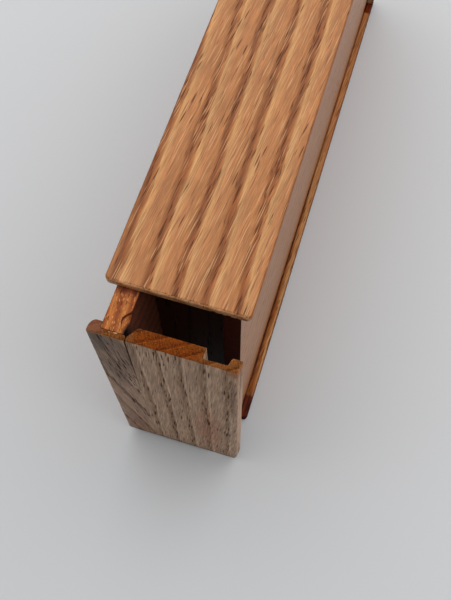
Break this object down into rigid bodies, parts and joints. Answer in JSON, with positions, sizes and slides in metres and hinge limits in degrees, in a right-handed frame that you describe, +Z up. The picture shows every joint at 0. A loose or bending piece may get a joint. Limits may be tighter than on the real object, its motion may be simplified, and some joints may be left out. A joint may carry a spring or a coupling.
{
  "type": "wooden box",
  "caption": "Slim upright wooden box for papers and keepsakes, with an end panel and a side wall that slide out together.",
  "frame": {"origin": "centre of the base board's underside", "axes": "+Z up; +Y along the box from the sliding front to the back, its longest extent; +X to the right of someone who faces the front"},
  "size_m": [0.0515, 0.2856, 0.1263],
  "materials": {
    "oak_board": "satin oiled",
    "oak_side": "satin oiled",
    "oak_front": "satin oiled",
    "oak_slide": "matt",
    "oak_plain": "matt"
  },
  "bodies": {
    "case": {"base_board": "oak_board", "lid_board": "oak_board", "right_wall": "oak_side", "inner_end": "oak_side", "back_panel": "oak_side", "bottom_key": "oak_plain", "top_key": "oak_plain"},
    "slide": {"front_panel": "oak_front", "left_wall": "oak_slide"}
  },
  "joints": [
    {"name": "front_slide", "type": "slide", "parent": "case", "child": "slide", "axis": [0, -1, 0], "range_m": [-0.0176, 0.157]}
  ]
}
